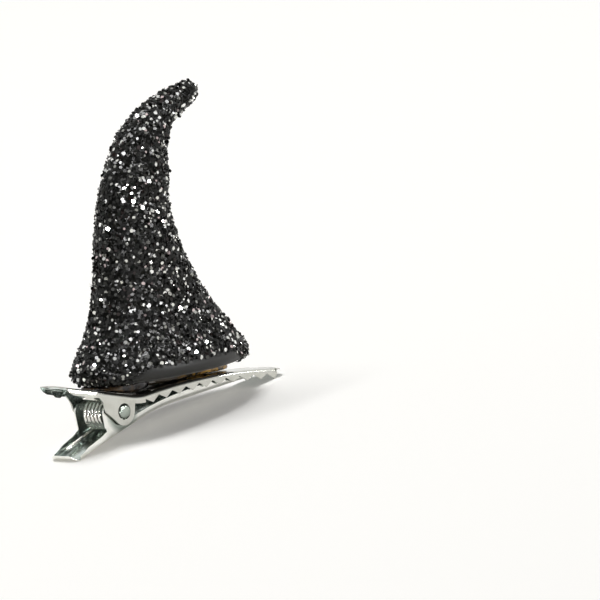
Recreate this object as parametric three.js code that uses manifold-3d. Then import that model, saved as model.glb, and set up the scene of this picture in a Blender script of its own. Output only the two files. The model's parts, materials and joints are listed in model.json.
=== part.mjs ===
// A devil horn on a toothed spring hair clip, standing on its clip.
// Millimetres, +Z up, +X towards the clip's nose, Y across the clip.
// The origin is the middle of the clip's length and width, on the surface that it stands on.
import * as THREE from 'three';
import { mergeVertices } from 'three/addons/utils/BufferGeometryUtils.js';
import Module from 'manifold-3d';

const wasm = await Module();
wasm.setup();

// Clip as a whole
const clipLength = 44.1; // handle end to nose
const clipWidth = 7.4; // over the outer ears
const handleReach = 10.4; // hinge axis back to the lower handle's end
const hingeHeight = 4.6; // hinge axis above the surface
const sheet = 0.45; // plated sheet steel
const foldRadius = 0.6; // outside of the folded edges
const jawGap = 0.08; // between the two jaws' sheets, each side
const crease = 0.05; // length over which a step in a sheet's edge runs

// Upper jaw
const kneeReach = 3.6; // hinge axis forward to the bend between tab and nose
const kneeRise = 1.38; // top face at the bend, above the hinge axis
const kneeBlend = 1.6; // half length of the rounded bend
const handleTilt = 22.1; // degrees, finger tab
const noseTilt = 1.7; // degrees, where the arched nose starts
const upperCrown = 0.14; // top face is this much higher in the middle
const noseWidth = 5.1; // at the last tooth
const tabReach = 9.1; // hinge axis back to the finger tab's end
const tabWidth = 5.6; // near that end
const wallDepth = 0.88; // side wall down to the roots of the teeth
const toothDepth = 0.82;
const toothPitch = 2.82;
const toothCount = 10; // each side
const firstToothReach = 6.0; // hinge axis forward to the first tooth
const noseLip = 0.7; // wall ahead of the last tooth's point
const cheekDepth = 1.38; // plain side wall between the ears and the first tooth
const tabFlange = 1.15; // turned down edge of the finger tab
const tabLobe = 0.28; // extra depth of the small lobe behind each ear

// Ears and hinge
const earRadius = 2.05; // outer ear below the hinge axis
const earBack = 3.45; // outer ear's rear corner behind the axis
const earShoulder = 0.9; // its rear edge slopes back by this much up to the tab
const earFront = 2.35; // outer ear's front edge ahead of the axis
const holeRadius = 1.2;
const dimpleGap = 0.14; // between dimple and hole
const dimpleSink = 0.03; // dimple's top below the outer ear's face
const dimpleWall = 0.35; // pressed wall round the dimple's hollow
const innerEarRadius = 1.85;
const innerEarBack = 3.6; // inner ear's rear edge behind the axis
const innerEarCorner = 1.45; // radius of its upper rear corner
const earSetback = 0.15; // inner ear's front edge behind the outer one's

// Lower jaw
const lowerNoseReach = 26.9; // hinge axis forward to its tip
const lowerKneeReach = 5; // hinge axis forward to its bend
const lowerKneeBlend = 6; // half length of the rounded bend
const lowerTilt = 10.2; // degrees, handle half
const lowerNoseTilt = 2.7; // degrees, nose half
const lowerBelly = 0.5; // rounded floor is this much lower in the middle, ahead of the ears
const earBelly = 0.2; // the same between the ears
const heelBelly = 0.04; // and at the heel
const lowerSide = 0.98; // side edge above the lowest point of the section
const lowerNoseSide = 0.62; // the same at the tip
const scoopFlange = 1.35; // side edge of the handle scoop
const scoopWidth = 5.7; // at the heel
const rimRadius = 1.15; // turned up rear rim
const rimSweep = 86; // degrees
const rimNarrowing = 0.3; // share of the width lost up the rim

// Torsion spring
const wireDiameter = 0.55;
const coilDiameter = 4.55; // outside
const coilTurns = 6; // whole turns, plus the half turn between the legs
const coilSideGap = 0.36; // coil to each inner ear
const coilFloorGap = 0.22; // coil to the lower jaw's floor
const coilBack = 1.0; // coil axis behind the hinge axis
const upperLegLength = 5.2;
const lowerLegLength = 7.4;
const upperLegLag = 0.6; // degrees that the upper leg falls short of the tab's tilt
const lowerLegLead = 0.6; // degrees that the lower leg is steeper than the lower handle
const legInset = 0.7; // each leg's end nearer the middle than the coil's end

// Horn
const hornHeight = 38.2; // base centre to the middle of the tip
const hornReach = 17.3; // base centre forward to the tip
const hornBaseLength = 31.2;
const hornBaseWidth = 17.6;
const hornSeatReach = 12.0; // hinge axis forward to the base centre
const hornTabGap = 0.64; // rear edge of the flat base above the finger tab
const glueThickness = 1.6; // under the base centre
const glueGap = 0.08; // between the glue and what it holds
const rearGlueWidth = 5.3;
const frontGlueWidth = 4.6;
const rearGlueOverhang = 1.3; // glue behind the flat base's rear edge
const frontGlueInset = 1.6; // glue's end behind the flat base's front edge
const bareReach = 4.6; // hinge axis forward to the stretch without glue
const bareLength = 3.4;

const { degToRad: rad, lerp } = THREE.MathUtils;
const noseReach = clipLength - handleReach;
const hingeX = -clipLength / 2 + handleReach;
const earHalf = clipWidth / 2;
const lastToothReach = firstToothReach + toothPitch * (toothCount - 1);
const wallEndReach = lastToothReach + noseLip;
const heelReach =
  handleReach - rimRadius * (Math.sin(rad(lowerTilt)) + Math.sin(rad(rimSweep - lowerTilt)));
const innerEarHalf = earHalf - sheet - jawGap;
const tooFine = 1e-4; // points closer than this are one point
const overlap = 0.3; // how far joined plates run into each other

// Two straight lines that meet at a corner, with the corner rounded off.
function bentLine(x, corner, height, slopeBack, slopeFront, blend) {
  const d = x - corner;
  if (d <= -blend) return height + slopeBack * d;
  if (d >= blend) return height + slopeFront * d;
  return height + slopeBack * d + ((slopeFront - slopeBack) * (d + blend) ** 2) / (4 * blend);
}

// Top face of the upper jaw along its middle. The nose's arch is the one that
// brings the last tooth's point down to the surface that the clip stands on.
const kneeHeight = hingeHeight + kneeRise;
const noseRun = lastToothReach - kneeReach;
const noseArch =
  (kneeHeight - Math.tan(rad(noseTilt)) * noseRun - wallDepth - toothDepth) / noseRun ** 2;
function upperTop(x) {
  const straight = bentLine(
    x, kneeReach, kneeHeight, -Math.tan(rad(handleTilt)), -Math.tan(rad(noseTilt)), kneeBlend,
  );
  return straight - noseArch * Math.max(0, x - kneeReach) ** 2;
}

// Underside of the lower jaw along its middle, zero at the heel.
const lowerKneeHeight = Math.tan(rad(lowerTilt)) * (lowerKneeReach + heelReach);
function lowerBottom(x) {
  return bentLine(
    x, lowerKneeReach, lowerKneeHeight,
    Math.tan(rad(lowerTilt)), -Math.tan(rad(lowerNoseTilt)), lowerKneeBlend,
  );
}

function leanOf(height, x) {
  const d = crease;
  return Math.atan((height(x + d) - height(x - d)) / (2 * d));
}

// Half width of the upper jaw: full at the ears, tapering to nose and tab.
function upperHalf(x) {
  if (x > earFront) {
    const t = (x - earFront) / (lastToothReach - earFront);
    return lerp(earHalf, noseWidth / 2, t);
  }
  const tabStart = -earBack - earShoulder;
  if (x > tabStart) return earHalf;
  const t = Math.min(1, (tabStart - x) / (tabReach + tabStart));
  return lerp(earHalf, tabWidth / 2, t);
}

// The lower jaw fits between the upper jaw's walls.
function lowerHalf(x) {
  if (x > -earBack) return upperHalf(x) - sheet - jawGap;
  const t = Math.min(1, (-earBack - x) / (heelReach - earBack));
  return lerp(innerEarHalf, scoopWidth / 2, t);
}

// The geometry with its shared points joined, so that it is one closed surface.
function joined(geometry) {
  const bare = geometry.clone();
  bare.deleteAttribute('normal');
  bare.deleteAttribute('uv');
  return mergeVertices(bare, tooFine);
}

function mesh(name, geometry, material) {
  const made = new THREE.Mesh(joined(geometry), material);
  made.geometry.computeVertexNormals();
  made.name = name;
  return made;
}

function solid(geometry) {
  const merged = joined(geometry);
  return new wasm.Manifold(new wasm.Mesh({
    numProp: 3,
    vertProperties: new Float32Array(merged.attributes.position.array),
    triVerts: new Uint32Array(merged.index.array),
  }));
}

function geometryOf(manifold) {
  const out = manifold.getMesh();
  const geometry = new THREE.BufferGeometry();
  geometry.setAttribute('position', new THREE.BufferAttribute(out.vertProperties, 3));
  geometry.setIndex(new THREE.BufferAttribute(out.triVerts, 1));
  return geometry;
}

// Closed body through rings of equal count. A ring's points run anticlockwise
// when seen from the next ring's side; fan closes both ends from a middle point.
function loft(rings, capStart, capEnd) {
  const points = [];
  const faces = [];
  const count = rings[0].length;
  rings.forEach((ring) => ring.forEach((p) => points.push(p.x, p.y, p.z)));
  for (let i = 0; i < rings.length - 1; i += 1) {
    for (let j = 0; j < count; j += 1) {
      const a = i * count + j;
      const b = i * count + ((j + 1) % count);
      faces.push(a, b, b + count, a, b + count, a + count);
    }
  }
  capStart(points, faces, 0, count, true);
  capEnd(points, faces, (rings.length - 1) * count, count, false);
  const geometry = new THREE.BufferGeometry();
  geometry.setAttribute('position', new THREE.Float32BufferAttribute(points, 3));
  geometry.setIndex(faces);
  return geometry;
}

function fanCap(points, faces, first, count, flip) {
  const middle = new THREE.Vector3();
  for (let j = 0; j < count; j += 1) {
    middle.x += points[3 * (first + j)] / count;
    middle.y += points[3 * (first + j) + 1] / count;
    middle.z += points[3 * (first + j) + 2] / count;
  }
  const centre = points.length / 3;
  points.push(middle.x, middle.y, middle.z);
  for (let j = 0; j < count; j += 1) {
    const a = first + j;
    const b = first + ((j + 1) % count);
    if (flip) faces.push(b, a, centre);
    else faces.push(a, b, centre);
  }
}

// A thin section's cap: its ring runs out along one face and back along the other.
function stripCap(points, faces, first, count, flip) {
  for (let j = 0; j < count / 2 - 1; j += 1) {
    const a = first + j;
    const b = a + 1;
    const c = first + count - 2 - j;
    const d = c + 1;
    if (flip) faces.push(b, a, d, b, d, c);
    else faces.push(a, b, d, b, c, d);
  }
}

// Folded sheet: a floor with a fold along each edge. Rows give the outer face's
// middle (x, z), the lean of the run, half width, side depth and belly.
// walls is +1 where the sides stand up and -1 where they hang down.
// The floor between the folds is rounded: at bellyPoint.out of its half width it
// has risen by bellyPoint.up of the belly.
const bellyPoint = { out: 0.55, up: 0.12 };
const mostFold = 0.6; // of the half width
const leastSide = 0.03; // straight edge beyond the fold
function foldedSheet(rows, walls) {
  const arcSteps = 3;
  const rings = rows.map((row) => {
    const place = (y, n) => new THREE.Vector3(
      hingeX + row.x - walls * n * Math.sin(row.lean),
      y,
      row.z + walls * n * Math.cos(row.lean),
    );
    const fold = Math.min(foldRadius, row.half * mostFold);
    const side = Math.max(row.side, row.belly + fold + leastSide);
    const face = (inset) => {
      const half = row.half - inset;
      const r = fold - inset;
      const line = [[half, side]];
      for (let k = 0; k <= arcSteps; k += 1) {
        const a = (k / arcSteps) * (Math.PI / 2);
        line.push([row.half - fold + r * Math.cos(a), row.belly + fold - r * Math.sin(a)]);
      }
      line.push([(row.half - fold) * bellyPoint.out, row.belly * bellyPoint.up + inset]);
      line.push([0, inset]);
      const mirrored = line.slice(0, -1).reverse().map(([y, n]) => [-y, n]);
      return line.concat(mirrored);
    };
    const outer = face(0);
    const inner = face(sheet).reverse();
    const ring = outer.concat(inner).map(([y, n]) => place(y, n));
    return walls > 0 ? ring.reverse() : ring;
  });
  return loft(rings, stripCap, stripCap);
}

// A plate of the sheet's thickness standing in the XZ plane, outlined by a shape.
// side is +1 or -1, and half is the place of its outer face.
function wallPlate(outline, side, half, curveSegments) {
  const geometry = new THREE.ExtrudeGeometry(outline, {
    depth: sheet, bevelEnabled: false, curveSegments,
  });
  geometry.rotateX(Math.PI / 2);
  geometry.translate(0, side > 0 ? half : sheet - half, 0);
  return geometry;
}

// Finger tab from its open end to the ears. at is a share of that run; flange and
// lobe are shares of the turned down edge and of the lobe's extra depth.
const tabRows = [
  { at: 0, flange: 0.68, lobe: 0 },
  { at: 0.08, flange: 0.84, lobe: 0 },
  { at: 0.2, flange: 1, lobe: 0 },
  { at: 0.48, flange: 1, lobe: 0 },
  { at: 0.6, flange: 1, lobe: 1 },
  { at: 0.75, flange: 1, lobe: 1 },
  { at: 0.86, flange: 1, lobe: 0 },
];

// Rounded nose ahead of the teeth. at is a share of that run, wide of the nose's width.
const noseTipRows = [
  { at: 0.6, wide: 0.9 },
  { at: 1, wide: 0.62 },
];

// Upper jaw: finger tab, ears and toothed nose from one sheet.
function makeUpperJaw(material) {
  const rows = [];
  const add = (x, side, half = upperHalf(x)) => rows.push({
    x, z: upperTop(x), lean: leanOf(upperTop, x), half, side, belly: upperCrown,
  });
  tabRows.forEach((row) => {
    add(lerp(-tabReach, -earBack, row.at), tabFlange * row.flange + tabLobe * row.lobe);
  });
  const windowEnd = firstToothReach - toothPitch / 2;
  [-earBack / 2, 0].forEach((x) => add(x, cheekDepth));
  [0, 0.3, 0.65, 1].forEach((t) => add(lerp(earFront, windowEnd, t), cheekDepth));
  const noseSteps = 18;
  for (let i = 1; i <= noseSteps; i += 1) {
    add(lerp(windowEnd, wallEndReach, i / noseSteps), wallDepth);
  }
  add(wallEndReach + crease, 0);
  noseTipRows.forEach((row) => {
    add(lerp(wallEndReach, noseReach, row.at), 0, (noseWidth / 2) * row.wide);
  });
  let jaw = solid(foldedSheet(rows, -1));
  [-1, 1].forEach((side) => {
    jaw = jaw.add(solid(outerEar(side)));
    for (let i = 0; i < toothCount; i += 1) jaw = jaw.add(solid(tooth(side, i)));
  });
  return mesh('upper_jaw', geometryOf(jaw), material);
}

// Outer ear: a rounded plate that hangs from the tab, with the hinge hole.
function outerEar(side) {
  const rearCorner = 0.15; // of earRadius above the axis
  const frontCorner = 0.3;
  const under = (x) => upperTop(x) - hingeHeight - foldRadius;
  const outline = new THREE.Shape();
  outline.moveTo(-earBack - earShoulder, under(-earBack - earShoulder));
  outline.lineTo(-earBack, earRadius * rearCorner);
  outline.absarc(0, 0, earRadius, rad(230), rad(340), false);
  outline.lineTo(earFront, earRadius * frontCorner);
  outline.lineTo(earFront, under(earFront));
  const hole = new THREE.Path();
  hole.absarc(0, 0, holeRadius, 0, Math.PI * 2, true);
  outline.holes.push(hole);
  const plate = wallPlate(outline, side, earHalf, 16);
  plate.translate(hingeX, 0, hingeHeight);
  return plate;
}

// One tooth, on the side wall's outer face and square to the arched top.
function tooth(side, index) {
  const x = firstToothReach + toothPitch * index;
  const depth = wallDepth + toothDepth;
  const back = -toothPitch / 2;
  const front = index === toothCount - 1 ? noseLip : toothPitch / 2;
  const outline = new THREE.Shape();
  outline.moveTo(back, -wallDepth + overlap);
  outline.lineTo(back, -wallDepth);
  outline.lineTo(0, -depth);
  outline.lineTo(front, -wallDepth);
  outline.lineTo(front, -wallDepth + overlap);
  const lean = leanOf(upperTop, x);
  const taper = Math.atan((noseWidth / 2 - earHalf) / (lastToothReach - earFront));
  const blade = wallPlate(outline, side, 0, 4);
  blade.rotateY(-lean);
  blade.translate(-depth * Math.sin(lean), 0, -depth * (1 - Math.cos(lean)));
  blade.rotateZ(side * taper);
  blade.translate(hingeX + x, side * upperHalf(x), upperTop(x));
  return blade;
}

// Lower handle from its rim to the inner ears. at is a share of that run, and flange
// of the scoop's side edge.
const scoopRows = [
  { at: 0, flange: 0.6 },
  { at: 0.2, flange: 0.72 },
  { at: 0.33, flange: 0.86 },
  { at: 0.55, flange: 0.97 },
  { at: 0.8, flange: 1.08 },
  { at: 0.93, flange: 1.35 },
];

// Lower jaw: handle scoop, inner ears with pressed dimples, and smooth nose.
function makeLowerJaw(material) {
  const rows = [];
  const add = (x, side, half = lowerHalf(x), belly = lowerBelly) => rows.push({
    x, z: lowerBottom(x), lean: leanOf(lowerBottom, x), half, side, belly,
  });
  const rimSteps = 5;
  const rimStart = -heelReach;
  const flat = leanOf(lowerBottom, rimStart);
  for (let i = rimSteps; i >= 1; i -= 1) {
    const t = i / rimSteps;
    const lean = flat - rad(rimSweep) * t;
    rows.push({
      x: rimStart + rimRadius * (Math.sin(lean) - Math.sin(flat)),
      z: lowerBottom(rimStart) + rimRadius * (Math.cos(flat) - Math.cos(lean)),
      lean,
      half: (scoopWidth / 2) * (1 - rimNarrowing * t ** 2),
      side: 0,
      belly: lerp(heelBelly, heelBelly / 2, t),
    });
  }
  scoopRows.forEach((row) => {
    const x = lerp(rimStart, -innerEarBack, row.at);
    add(x, scoopFlange * row.flange, lowerHalf(x), lerp(heelBelly, earBelly, row.at));
  });
  [-innerEarBack, -innerEarBack / 2, 0, earFront / 2, earFront].forEach((x) => {
    add(x, lowerSide, lowerHalf(x), earBelly);
  });
  const noseSteps = 12;
  const tipLength = 1;
  const tipBelly = lowerBelly * 0.2;
  for (let i = 1; i <= noseSteps; i += 1) {
    const t = i / noseSteps;
    const x = lerp(earFront, lowerNoseReach - tipLength, t);
    const swell = Math.min(1, t * 4); // the floor rounds out over the first quarter
    const belly = lerp(earBelly, lowerBelly, swell) * (1 - t) + tipBelly * t;
    add(x, lerp(lowerSide, lowerNoseSide, t), lowerHalf(x), belly);
  }
  const tipHalf = lowerHalf(lowerNoseReach);
  add(lowerNoseReach - tipLength * 0.4, 0, tipHalf * 0.86, tipBelly / 2);
  add(lowerNoseReach, 0, tipHalf * 0.6, tipBelly / 2);
  let jaw = solid(foldedSheet(rows, 1));
  [-1, 1].forEach((side) => {
    jaw = jaw.add(solid(innerEar(side))).add(solid(dimple(side, 0)));
    jaw = jaw.subtract(solid(dimple(side, dimpleWall)));
  });
  return mesh('lower_jaw', geometryOf(jaw), material);
}

// Inner ear: a plate that stands on the lower jaw's side wall, drawn out to a
// rounded corner behind the coil.
function innerEar(side) {
  const foot = (x) => lowerBottom(x) + lowerSide - hingeHeight - overlap;
  const cornerX = -innerEarBack + innerEarCorner;
  const cornerZ = innerEarRadius - innerEarCorner;
  const outline = new THREE.Shape();
  outline.moveTo(-innerEarBack, foot(-innerEarBack));
  outline.lineTo(earFront - earSetback, foot(earFront));
  outline.absarc(0, 0, innerEarRadius, rad(20), rad(90), false);
  outline.absarc(cornerX, cornerZ, innerEarCorner, rad(90), rad(180), false);
  const plate = wallPlate(outline, side, innerEarHalf, 8);
  plate.translate(hingeX, 0, hingeHeight);
  return plate;
}

// Dimple pressed outwards from the inner ear, into the outer ear's hole. inset
// gives its hollow, which starts from the ear's inner face.
function dimple(side, inset) {
  const radius = holeRadius - dimpleGap - inset;
  const rise = sheet + jawGap - dimpleSink;
  const root = sheet / 4; // how far its foot sinks into the ear
  const shoulder = { out: 0.45, up: 0.4 }; // of its radius and rise, before it rounds over
  const steps = 4;
  const profile = [new THREE.Vector2(0, -root), new THREE.Vector2(radius, -root)];
  for (let k = 0; k < steps; k += 1) {
    const a = (k / steps) * (Math.PI / 2);
    profile.push(new THREE.Vector2(
      radius * lerp(Math.cos(a), 1, shoulder.out),
      rise * lerp(Math.sin(a), 1, shoulder.up),
    ));
  }
  profile.push(new THREE.Vector2(0, rise));
  const shape = new THREE.LatheGeometry(profile, 24);
  if (side < 0) shape.rotateX(Math.PI);
  const face = inset > 0 ? innerEarHalf - sheet : innerEarHalf;
  shape.translate(hingeX, side * face, hingeHeight);
  return shape;
}

// Torsion spring: half a turn more than whole turns, so that both legs point back.
class SpringPath extends THREE.Curve {
  getPoint(t) {
    const radius = (coilDiameter - wireDiameter) / 2;
    const start = rad(90 - handleTilt + upperLegLag);
    const end = rad(-90 + lowerTilt + lowerLegLead - 360 * coilTurns);
    const sweep = start - end;
    const run = radius * sweep;
    const whole = upperLegLength + run + lowerLegLength;
    const s = t * whole;
    const spread = 2 * (innerEarHalf - sheet - coilSideGap) - wireDiameter;
    const centreX = hingeX - coilBack;
    const centreZ = lowerBottom(-coilBack) + sheet + coilFloorGap + coilDiameter / 2;
    const turned = THREE.MathUtils.clamp((s - upperLegLength) / run, 0, 1);
    const angle = start - sweep * turned;
    const before = Math.min(0, s - upperLegLength);
    const after = Math.max(0, s - upperLegLength - run);
    const ahead = before + after;
    return new THREE.Vector3(
      centreX + radius * Math.cos(angle) + ahead * Math.sin(angle),
      spread * (turned - 0.5) - legInset * (before / upperLegLength + after / lowerLegLength),
      centreZ + radius * Math.sin(angle) - ahead * Math.cos(angle),
    );
  }
}

function makeSpring(material) {
  const section = new THREE.Shape();
  const sides = 6;
  const stepsPerTurn = 17;
  for (let k = 0; k < sides; k += 1) {
    const a = (k / sides) * Math.PI * 2;
    const x = (wireDiameter / 2) * Math.cos(a);
    const y = (wireDiameter / 2) * Math.sin(a);
    if (k) section.lineTo(x, y);
    else section.moveTo(x, y);
  }
  section.closePath();
  const geometry = new THREE.ExtrudeGeometry(section, {
    steps: stepsPerTurn * (coilTurns + 1), extrudePath: new SpringPath(), bevelEnabled: false,
  });
  return mesh('spring', geometry, material);
}

// The horn's flat base is set by the glue under its middle and the tab behind it.
const flatBase = 0.9; // of the base's length
const baseX = hingeX + hornSeatReach;
const baseZ = upperTop(hornSeatReach) + glueThickness;
const flatReach = (flatBase * hornBaseLength) / 2;
const baseTilt = THREE.MathUtils.radToDeg(
  Math.atan((upperTop(hornSeatReach - flatReach) + hornTabGap - baseZ) / flatReach),
);

// Horn sections from the base up. rise and forward are shares of hornHeight and
// hornReach, deep and wide shares of half the base's length and width, lean in degrees.
const hornRows = [
  { rise: 0.0, forward: 0.0, deep: flatBase, wide: 0.88, lean: baseTilt },
  { rise: 0.008, forward: 0.001, deep: 0.965, wide: 0.955, lean: baseTilt },
  { rise: 0.028, forward: 0.002, deep: 1.0, wide: 1.0, lean: baseTilt },
  { rise: 0.062, forward: 0.002, deep: 0.985, wide: 0.98, lean: baseTilt },
  { rise: 0.14, forward: 0.008, deep: 0.845, wide: 0.88, lean: 7 },
  { rise: 0.275, forward: 0.001, deep: 0.638, wide: 0.71, lean: 5 },
  { rise: 0.41, forward: -0.004, deep: 0.507, wide: 0.62, lean: 5 },
  { rise: 0.545, forward: 0.012, deep: 0.422, wide: 0.561, lean: 9 },
  { rise: 0.672, forward: 0.07, deep: 0.356, wide: 0.505, lean: 18 },
  { rise: 0.782, forward: 0.193, deep: 0.31, wide: 0.458, lean: 28 },
  { rise: 0.866, forward: 0.296, deep: 0.256, wide: 0.38, lean: 39 },
  { rise: 0.923, forward: 0.436, deep: 0.199, wide: 0.306, lean: 53 },
  { rise: 0.962, forward: 0.581, deep: 0.151, wide: 0.245, lean: 66 },
  { rise: 0.984, forward: 0.782, deep: 0.122, wide: 0.205, lean: 77 },
  { rise: 0.997, forward: 0.93, deep: 0.1, wide: 0.17, lean: 84 },
  { rise: 1.0, forward: 0.98, deep: 0.072, wide: 0.118, lean: 86 },
];

function makeHorn(material) {
  const places = new THREE.CatmullRomCurve3(hornRows.map((row) => new THREE.Vector3(
    baseX + row.forward * hornReach, 0, baseZ + row.rise * hornHeight,
  )));
  const sizes = new THREE.CatmullRomCurve3(hornRows.map((row) => new THREE.Vector3(
    (row.deep * hornBaseLength) / 2, (row.wide * hornBaseWidth) / 2, rad(row.lean) * hornHeight,
  )));
  const ringCount = 2 * (hornRows.length - 1);
  const around = 30;
  const rings = [];
  for (let i = 0; i <= ringCount; i += 1) {
    const place = places.getPoint(i / ringCount);
    const size = sizes.getPoint(i / ringCount);
    const lean = size.z / hornHeight;
    const ring = [];
    for (let j = 0; j < around; j += 1) {
      const a = (j / around) * Math.PI * 2;
      const along = size.x * Math.cos(a);
      ring.push(new THREE.Vector3(
        place.x + along * Math.cos(lean),
        size.y * Math.sin(a),
        place.z - along * Math.sin(lean),
      ));
    }
    rings.push(ring);
  }
  return mesh('horn', loft(rings, fanCap, fanCap), material);
}

// Glue between the clip's top face and the horn's flat base. A blob's sections
// swell from its ends, and its faces follow the two pieces that it holds.
const glueEnd = 0.02; // of its length cut off each end
const glueSquare = 0.6; // roundness of its section: 1 is an ellipse
function makeGlue(name, from, to, width, material) {
  const steps = 10;
  const around = 16;
  const baseUnder = (x) => baseZ - (x - hornSeatReach) * Math.tan(rad(baseTilt));
  const squared = (c) => Math.sign(c) * Math.abs(c) ** glueSquare;
  const rings = [];
  for (let i = 0; i <= steps; i += 1) {
    const t = lerp(glueEnd, 1 - glueEnd, i / steps);
    const x = lerp(from, to, t);
    const swell = Math.sqrt(1 - (2 * t - 1) ** 4);
    const low = upperTop(x) + glueGap;
    const high = baseUnder(x) - glueGap;
    const tall = ((high - low) / 2) * lerp(0.8, 1, swell);
    const ring = [];
    for (let j = 0; j < around; j += 1) {
      const a = (j / around) * Math.PI * 2;
      ring.push(new THREE.Vector3(
        hingeX + x,
        (width / 2) * swell * squared(Math.cos(a)),
        (low + high) / 2 + tall * squared(Math.sin(a)),
      ));
    }
    rings.push(ring);
  }
  return mesh(name, loft(rings, fanCap, fanCap), material);
}

const steel = new THREE.MeshStandardMaterial({ color: 0xc9ccc8, roughness: 0.22, metalness: 1 });
const wire = new THREE.MeshStandardMaterial({ color: 0xb9bbb6, roughness: 0.25, metalness: 1 });
const glitter = new THREE.MeshStandardMaterial({ color: 0x1c1c1b, roughness: 0.55, metalness: 0.1 });
const amber = new THREE.MeshStandardMaterial({ color: 0x9a6a1c, roughness: 0.25, metalness: 0 });

const rearGlueFrom = hornSeatReach - flatReach - rearGlueOverhang;
const frontGlueTo = hornSeatReach + flatReach - frontGlueInset;

const hornClip = new THREE.Group();
hornClip.add(
  makeLowerJaw(steel),
  makeUpperJaw(steel),
  makeSpring(wire),
  makeHorn(glitter),
  makeGlue('glue_rear', rearGlueFrom, bareReach, rearGlueWidth, amber),
  makeGlue('glue_front', bareReach + bareLength, frontGlueTo, frontGlueWidth, amber),
);

export default hornClip;
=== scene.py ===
import json
import math

import bmesh
import bpy
import numpy as np
from mathutils import Matrix, Vector, kdtree, noise


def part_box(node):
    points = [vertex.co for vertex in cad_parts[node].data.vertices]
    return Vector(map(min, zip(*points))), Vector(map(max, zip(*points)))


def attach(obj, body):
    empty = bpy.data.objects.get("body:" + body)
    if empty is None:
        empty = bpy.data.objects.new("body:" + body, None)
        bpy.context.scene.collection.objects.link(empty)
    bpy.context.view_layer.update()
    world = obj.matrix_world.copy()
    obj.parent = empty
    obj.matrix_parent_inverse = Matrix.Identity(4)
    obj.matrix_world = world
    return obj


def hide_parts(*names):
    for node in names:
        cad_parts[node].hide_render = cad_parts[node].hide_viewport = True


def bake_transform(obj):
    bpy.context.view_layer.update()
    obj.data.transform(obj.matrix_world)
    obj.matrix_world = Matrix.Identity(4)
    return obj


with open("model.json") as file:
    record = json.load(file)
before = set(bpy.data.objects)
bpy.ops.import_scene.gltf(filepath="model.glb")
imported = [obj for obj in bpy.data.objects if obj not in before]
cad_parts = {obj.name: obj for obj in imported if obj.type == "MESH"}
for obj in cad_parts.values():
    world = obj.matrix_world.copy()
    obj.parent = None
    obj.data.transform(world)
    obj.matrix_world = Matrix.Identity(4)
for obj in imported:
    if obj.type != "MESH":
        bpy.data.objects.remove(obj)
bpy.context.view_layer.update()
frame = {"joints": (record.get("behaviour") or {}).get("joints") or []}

scene = bpy.context.scene
mm = 0.001
hinge = Vector(frame["joints"][0]["pos_m"]) / mm  # jaw hinge, in millimetres
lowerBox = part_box("lower_jaw")
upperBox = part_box("upper_jaw")


def lerp(a, b, t):
    return a + (b - a) * t


# Camera

view = {
    "azimuth": 43.0,       # degrees from square to the near side, towards the finger tab
    "elevation": 12.0,
    "roll": 11.4,          # the picture is turned anticlockwise by this much
    "pixelsPerMm": 6.9,
    "pictureSize": 600.0,
    "earPixel": (124.4, 411.5),  # hinge hole of the near ear in the 600 pixel picture
    "earY": -3.7,          # millimetres
    "distance": 900.0,     # millimetres
    "sensor": 36.0,
}


def makeCamera():
    psi = math.radians(view["azimuth"])
    tilt = math.radians(view["elevation"])
    roll = math.radians(view["roll"])
    right = Vector((math.cos(psi), -math.sin(psi), 0))
    up = Vector((math.sin(psi) * math.sin(tilt), math.cos(psi) * math.sin(tilt), math.cos(tilt)))
    back = right.cross(up)
    rightRolled = right * math.cos(roll) - up * math.sin(roll)
    upRolled = right * math.sin(roll) + up * math.cos(roll)
    middle = view["pictureSize"] / 2
    across = (middle - view["earPixel"][0]) / view["pixelsPerMm"]
    above = (view["earPixel"][1] - middle) / view["pixelsPerMm"]
    ear = Vector((hinge.x, view["earY"], hinge.z))
    aim = ear + rightRolled * across + upRolled * above
    data = bpy.data.cameras.new("camera")
    data.sensor_width = view["sensor"]
    data.lens = view["pixelsPerMm"] * view["sensor"] * view["distance"] / view["pictureSize"]
    data.clip_start = 0.01
    data.clip_end = 20
    camera = bpy.data.objects.new("camera", data)
    turn = Matrix((rightRolled, upRolled, back)).transposed()
    camera.matrix_world = Matrix.Translation((aim + back * view["distance"]) * mm) @ turn.to_4x4()
    scene.collection.objects.link(camera)
    scene.camera = camera


makeCamera()
print("camera placed")


# Floor, lights and surroundings

studio = {
    "floorSize": 8.0,      # metres, as all sizes and places of the studio
    "floorColour": (0.9, 0.893, 0.872, 1),
    "glowColour": (1.0, 0.98, 0.94, 1),
    "floorGlow": 0.16,     # the floor's own light, which keeps it near white
    "aim": (0, 0, 0.02),
    "keySize": 0.72,
    "keyPlace": (0.0, 0.33, 1.6),
    "keyPower": 21.5,
    "stripSize": 0.10,
    "strips": [((0.5, -0.32, 0.3), 1.4), ((-0.62, 0.02, 0.08), 0.9)],
    "lampSize": 0.055,
    "lampDistance": 0.7,
    "lampPower": 0.9,
    "lamps": [(2, 30), (24, 58), (44, 34), (12, 12), (-10, 66), (62, 52), (80, 22), (30, 20), (96, 44),
              (66, 8), (50, 68)],
    "backdropSeen": 1.05,  # strength as the camera sees it
    "backdrop": 1.0,       # strength behind the part, as shiny surfaces see it
    "roomDark": 0.07,      # strength on the camera's side
    "roomFill": 0.16,      # what the room adds to matt surfaces
    "paleEdge": -0.35,     # the change between the two, as the cosine from the camera's side
    "darkEdge": 0.75,
    "facingDrop": 0.1,
}


def fillInputs(tree, node, inputs):
    # Sockets are linked and plain values set, by the name or number of the input
    for label, value in inputs.items():
        if isinstance(value, bpy.types.NodeSocket):
            tree.links.new(value, node.inputs[label])
        else:
            node.inputs[label].default_value = value


def addNode(tree, kind, inputs=None, **settings):
    node = tree.nodes.new("ShaderNode" + kind)
    for label, value in settings.items():
        setattr(node, label, value)
    fillInputs(tree, node, inputs or {})
    return node


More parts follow.
